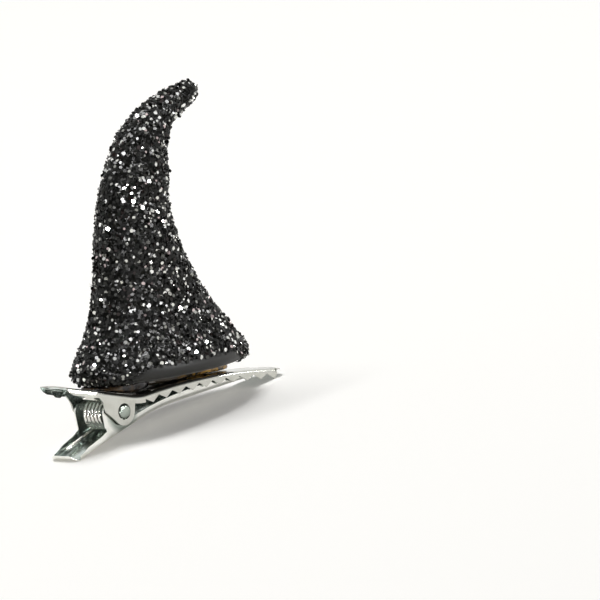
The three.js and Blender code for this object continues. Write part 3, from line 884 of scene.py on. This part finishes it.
def makeSpring():
    radius = (coil["outside"] - coil["wire"]) / 2
    centreZ = lowerBottom(-coil["back"]) + clip["sheet"] + coil["floorGap"] + coil["outside"] / 2
    centre = Vector((hinge.x - coil["back"], 0, centreZ))
    start = math.radians(90 - clip["handleTilt"] + coil["upperLag"])
    end = math.radians(-90 + clip["lowerTilt"] + coil["lowerLead"] - 360 * coil["turns"])
    spread = 2 * (innerHalf - clip["sheet"] - coil["sideGap"]) - coil["wire"]
    steps = round((start - end) / math.tau * coil["stepsPerTurn"])
    wire = bmesh.new()
    begin = centre + Vector((radius * math.cos(start), -spread / 2, radius * math.sin(start)))
    tangent = Vector((math.sin(start), 0, -math.cos(start)))
    turn = Matrix.Translation(begin * mm) @ tangent.to_track_quat("Z", "Y").to_matrix().to_4x4()
    bmesh.ops.create_circle(wire, cap_ends=False, segments=coil["sides"], radius=coil["wire"] / 2 * mm,
                            matrix=turn)
    firstEdges = list(wire.edges)
    made = bmesh.ops.spin(wire, geom=list(wire.verts) + firstEdges, cent=centre * mm, axis=(0, 1, 0),
                          dvec=(0, spread / steps * mm, 0), angle=start - end, steps=steps)
    lastEdges = [item for item in made["geom_last"] if isinstance(item, bmesh.types.BMEdge)]
    endTangent = Vector((math.sin(end), 0, -math.cos(end)))
    legs = ((firstEdges, -tangent, coil["upperLeg"], coil["inset"]),
            (lastEdges, endTangent, coil["lowerLeg"], -coil["inset"]))
    for edges, direction, length, inset in legs:
        ring = edges
        for share in (0.985, 0.015):  # a short last stretch, drawn in, rounds the wire's end
            grown = bmesh.ops.extrude_edge_only(wire, edges=ring)["geom"]
            verts = [item for item in grown if isinstance(item, bmesh.types.BMVert)]
            ring = [item for item in grown if isinstance(item, bmesh.types.BMEdge)]
            step = (direction * length + Vector((0, inset, 0))) * share * mm
            bmesh.ops.translate(wire, verts=verts, vec=step)
        middle = sum((vert.co for vert in verts), Vector()) / len(verts)
        bmesh.ops.scale(wire, verts=verts, vec=[coil["endTaper"]] * 3, space=Matrix.Translation(-middle))
        bmesh.ops.edgeloop_fill(wire, edges=ring)
    bmesh.ops.recalc_face_normals(wire, faces=wire.faces)
    spring = newPiece("coil_spring", wire, springSteel)
    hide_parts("spring")
    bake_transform(spring)


makeSpring()
print("spring wound")


# The horn and its glitter

horn = {
    "height": 38.2,
    "reach": 17.3,
    "baseLength": 31.2,
    "baseWidth": 17.6,
    "seatReach": 12.0,
    "tabGap": 0.64,
    "glueThickness": 1.6,
    "flatBase": 0.9,
    "edgeRound": 0.2,
    "bandHeight": 2.3,     # the bare strip along the near side's lower edge, in millimetres
    "bandFade": 0.7,
    "bandStart": -142,     # its ends round the horn, and the run over which each fades, in degrees
    "bandStartFade": 18,
    "bandEnd": -44,
    "bandEndFade": 16,
    "around": 96,
    "along": 72,
    "seed": 7,
}
seatZ = upperTop(horn["seatReach"]) + horn["glueThickness"]
flatReach = horn["flatBase"] * horn["baseLength"] / 2
baseTilt = math.atan((upperTop(horn["seatReach"] - flatReach) + horn["tabGap"] - seatZ) / flatReach)

# rise and forward are shares of height and reach, deep and wide of half the base's size, lean in degrees
baseLean = math.degrees(baseTilt)
hornRows = np.array([
    (0.0, 0.0, 0.9, 0.88, baseLean),
    (0.008, 0.001, 0.965, 0.955, baseLean),
    (0.028, 0.002, 1.0, 1.0, baseLean),
    (0.062, 0.002, 0.985, 0.98, baseLean),
    (0.14, 0.008, 0.845, 0.88, 7),
    (0.275, 0.001, 0.638, 0.71, 5),
    (0.41, -0.004, 0.507, 0.62, 5),
    (0.545, 0.012, 0.422, 0.561, 9),
    (0.672, 0.07, 0.356, 0.505, 18),
    (0.782, 0.193, 0.31, 0.458, 28),
    (0.866, 0.296, 0.256, 0.38, 39),
    (0.923, 0.436, 0.199, 0.306, 53),
    (0.962, 0.581, 0.151, 0.245, 66),
    (0.984, 0.782, 0.122, 0.205, 77),
    (0.997, 0.93, 0.1, 0.17, 84),
    (1.0, 0.98, 0.072, 0.118, 86),
    (1.0, 0.994, 0.03, 0.05, 87),
])
lastRow = len(hornRows) - 1


def hornSection(s):
    # A smooth curve (Catmull-Rom) through the rows, s counting rows from the base
    s = np.clip(np.asarray(s, float), 0, lastRow)
    i = np.minimum(s.astype(int), lastRow - 1)
    t = (s - i)[..., None]
    p0, p1 = hornRows[np.maximum(i - 1, 0)], hornRows[i]
    p2, p3 = hornRows[i + 1], hornRows[np.minimum(i + 2, lastRow)]
    return 0.5 * (2 * p1 + (p2 - p0) * t + (2 * p0 - 5 * p1 + 4 * p2 - p3) * t ** 2
                  + (3 * p1 - p0 - 3 * p2 + p3) * t ** 3)


def hornPoint(s, angle):
    rise, forward, deep, wide, lean = np.moveaxis(hornSection(s), -1, 0)
    along = deep * horn["baseLength"] / 2 * np.cos(angle)
    across = wide * horn["baseWidth"] / 2 * np.sin(angle)
    lean = np.radians(lean)
    x = hinge.x + horn["seatReach"] + forward * horn["reach"] + along * np.cos(lean)
    z = seatZ + rise * horn["height"] - along * np.sin(lean)
    return np.stack([x, across, z], -1)


def hornNormal(s, angle):
    d = 0.02
    alongHorn = hornPoint(s + d, angle) - hornPoint(s - d, angle)
    aroundHorn = hornPoint(s, angle + d) - hornPoint(s, angle - d)
    normal = np.cross(aroundHorn, alongHorn)
    return normal / np.maximum(np.linalg.norm(normal, axis=-1, keepdims=True), 1e-9)


def bareBand(s, angle):
    # 1 on the smooth strip along the near side's lower edge, 0 where glitter lies
    height = hornSection(s)[..., 0] * horn["height"]
    turned = np.degrees(np.mod(angle, 2 * np.pi)) - 360
    start = np.clip((turned - horn["bandStart"]) / horn["bandStartFade"], 0, 1)
    end = np.clip((horn["bandEnd"] - turned) / horn["bandEndFade"], 0, 1)
    return np.clip((horn["bandHeight"] * (start * end) - height) / horn["bandFade"], 0, 1)


def makeHorn():
    rings, around = horn["along"], horn["around"]

    def place(row, column):
        s = lastRow * row / (rings - 1)
        return Vector(hornPoint(s, math.tau * column / around)) * mm

    body = gridSheet(rings, around + 1, place, True)
    bmesh.ops.remove_doubles(body, verts=body.verts, dist=0.002 * mm)
    bmesh.ops.holes_fill(body, edges=[edge for edge in body.edges if edge.is_boundary], sides=0)
    bmesh.ops.recalc_face_normals(body, faces=body.faces)
    piece = newPiece("horn_body", body, lacquer)
    band = piece.data.attributes.new("bareBand", "FLOAT", "POINT")
    points = np.array([vert.co for vert in piece.data.vertices]) / mm
    sections = np.repeat(np.linspace(0, lastRow, rings), around)
    angles = np.tile(np.arange(around) * math.tau / around, rings)
    tree = kdtree.KDTree(len(sections))
    for index, point in enumerate(hornPoint(sections, angles)):
        tree.insert(point, index)
    tree.balance()
    nearest = np.array([tree.find(point)[1] for point in points])
    band.data.foreach_set("value", bareBand(sections, angles)[nearest].astype(np.float32))
    softenEdges(piece, horn["edgeRound"], angle=50)
    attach(piece, "upper")
    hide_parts("horn")


# Lengths in millimetres, leans in degrees; rows are counted as in hornSection
flakes = {
    "spacing": 0.45,
    "firstRow": 0.3,
    "ringShare": 0.92,     # of the spacing, from ring to ring
    "sideShare": 0.6,      # how far the back edge counts in the steps along the horn
    "turnJitter": 0.36,    # shares of the way to the next flake
    "rowJitter": 0.4,
    "smallest": 0.17,      # radii
    "largest": 0.33,
    "thickness": 0.035,
    "lean": 30.0,
    "proudLean": 58.0,
    "leanSpread": 0.75,
    "mostLean": 72,
    "proudShare": 0.14,
    "lift": 0.10,
    "split": 0.40,         # share of the horn's height where one mesh ends and the other starts
    "bareCut": 1.3,
}


def flakePlaces(rng):
    # Rings of flakes an even step apart along the horn, each spread evenly round it
    fine = np.linspace(flakes["firstRow"], lastRow, 4000)
    front = (hornPoint(fine, 0.0) + hornPoint(fine, math.pi)) / 2
    side = hornPoint(fine, math.pi) - front
    moves = np.diff(front, axis=0) + np.diff(side, axis=0) * flakes["sideShare"]
    steps = np.linalg.norm(moves, axis=1)
    walked = np.concatenate([[0], np.cumsum(steps)])
    places, angles = [], []
    turn = np.linspace(0, math.tau, 181)
    jitter = flakes["turnJitter"]
    for distance in np.arange(0.1, walked[-1], flakes["spacing"] * flakes["ringShare"]):
        s = float(np.interp(distance, walked, fine))
        ring = hornPoint(np.full(len(turn), s), turn)
        arc = np.concatenate([[0], np.cumsum(np.linalg.norm(np.diff(ring, axis=0), axis=1))])
        count = max(3, int(arc[-1] / flakes["spacing"]))
        order = np.arange(count) + rng.random() + rng.uniform(-jitter, jitter, count)
        spots = order % count / count * arc[-1]
        angles.append(np.interp(spots, arc, turn))
        back = s - np.interp(distance - flakes["spacing"], walked, fine)
        moved = s + rng.uniform(-flakes["rowJitter"], flakes["rowJitter"], count) * back
        places.append(np.clip(moved, flakes["firstRow"], lastRow - 0.02))
    return np.concatenate(places), np.concatenate(angles)


def makeGlitter():
    rng = np.random.default_rng(horn["seed"])
    s, angle = flakePlaces(rng)
    keep = rng.random(len(s)) > bareBand(s, angle) * flakes["bareCut"]
    s, angle = s[keep], angle[keep]
    count = len(s)
    centre = hornPoint(s, angle)
    normal = hornNormal(s, angle)
    proud = rng.random(count) < flakes["proudShare"]
    lean = np.radians(np.where(proud, flakes["proudLean"], flakes["lean"]))
    lean = lean * np.abs(rng.normal(0, flakes["leanSpread"], count))
    lean = np.minimum(lean, math.radians(flakes["mostLean"]))
    sideways = np.cross(normal, rng.normal(size=(count, 3)))
    sideways /= np.linalg.norm(sideways, axis=1, keepdims=True)
    facing = normal * np.cos(lean)[:, None] + sideways * np.sin(lean)[:, None]
    across = np.cross(facing, rng.normal(size=(count, 3)))
    across /= np.linalg.norm(across, axis=1, keepdims=True)
    along = np.cross(facing, across)
    radius = rng.uniform(flakes["smallest"], flakes["largest"], count)
    lift = rng.uniform(0.2, 1.0, count) * flakes["lift"] + radius * np.sin(lean) * 0.7
    centre = centre + normal * lift[:, None]
    low = hornSection(s)[:, 0] < flakes["split"]
    tone = rng.random(count).astype(np.float32)
    plates = (centre, across, along, facing, radius, tone)
    for name, chosen in (("glitter_lower", low), ("glitter_upper", ~low)):
        flakeMesh(name, *[values[chosen] for values in plates])


def flakeMesh(name, centre, across, along, facing, radius, tone):
    # Six-sided plates, closed, in one mesh
    count = len(centre)
    turn = np.arange(6) * math.tau / 6
    flat = across[:, None] * np.cos(turn)[None, :, None] + along[:, None] * np.sin(turn)[None, :, None]
    flat = flat * radius[:, None, None]
    half = facing[:, None] * flakes["thickness"] / 2
    top = centre[:, None] + flat + half
    bottom = centre[:, None] + flat - half
    points = np.concatenate([top, bottom], 1).reshape(-1, 3) * mm
    plate = [list(range(6)), list(range(11, 5, -1))]
    plate += [[i, i + 6, (i + 1) % 6 + 6, (i + 1) % 6] for i in range(6)]
    faces = [[corner + 12 * index for corner in face] for index in range(count) for face in plate]
    data = bpy.data.meshes.new(name)
    data.from_pydata(points.tolist(), [], faces)
    tones = data.attributes.new("flakeTone", "FLOAT", "POINT")
    tones.data.foreach_set("value", np.repeat(tone, 12))
    data.materials.append(glitter)
    piece = bpy.data.objects.new(name, data)
    scene.collection.objects.link(piece)
    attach(piece, "upper")
    print(name, count, "flakes")


makeHorn()
makeGlitter()
print("horn covered")


# The glue between clip and horn

glue = {
    "gap": 0.03,
    "rearWidth": 5.3,
    "frontWidth": 4.6,
    "overhang": 1.3,
    "inset": 1.6,
    "meeting": 8.1,        # ahead of the hinge, where the two blobs run into each other
    "overlap": 0.5,
    "endCap": 0.02,        # share of the run at each end that isn't eased
    "lumps": 0.14,         # share of the width
    "squareAcross": 0.7,   # below 1, the section is fuller than an ellipse
    "squareUp": 0.55,
    "pinch": 0.75,         # height left at the ends
}


def baseUnder(x):
    # The height of the horn's base
    return seatZ - (x - horn["seatReach"]) * math.tan(baseTilt)


def makeGlue(name, start, end, width, node, material, seed):
    blob = bmesh.new()
    bmesh.ops.create_uvsphere(blob, u_segments=40, v_segments=28, radius=1)
    bmesh.ops.rotate(blob, verts=blob.verts, matrix=Matrix.Rotation(math.pi / 2, 3, "Y"))
    for vert in blob.verts:
        p = vert.co.copy()
        t = (p.x + 1) / 2
        inside = glue["endCap"] < t < 1 - glue["endCap"]
        x = lerp(start, end, 0.5 - 0.5 * math.cos(math.pi * t) if inside else t)
        ring = math.hypot(p.y, p.z)
        c, s = (p.y / ring, p.z / ring) if ring > 1e-6 else (0, 0)
        swell = math.sqrt(max(0, 1 - (2 * (x - start) / (end - start) - 1) ** 4))
        low = upperTop(x) + glue["gap"]
        high = baseUnder(x) - glue["gap"]
        lump = noise.noise(Vector((x * 0.9, p.y * 2, p.z * 2 + seed)))
        half = width / 2 * swell * (1 + glue["lumps"] * lump)
        across = math.copysign(abs(c) ** glue["squareAcross"], c)
        upward = math.copysign(abs(s) ** glue["squareUp"], s)
        tall = (high - low) / 2 * lerp(glue["pinch"], 1, swell) * (1 if ring > 1e-6 else 0)
        vert.co = Vector((hinge.x + x, half * across, (low + high) / 2 + tall * upward)) * mm
    bmesh.ops.recalc_face_normals(blob, faces=blob.faces)
    piece = newPiece(name, blob, material)
    smooth = piece.modifiers.new("smooth", "SUBSURF")
    smooth.levels = 1
    smooth.render_levels = 1
    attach(piece, "upper")
    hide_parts(node)


makeGlue("glue_blob_rear", horn["seatReach"] - flatReach - glue["overhang"], glue["meeting"],
         glue["rearWidth"], "glue_rear", darkGlue, 3.0)
makeGlue("glue_blob_front", glue["meeting"] - glue["overlap"],
         horn["seatReach"] + flatReach - glue["inset"],
         glue["frontWidth"], "glue_front", amberGlue, 8.0)
print("glue in place")
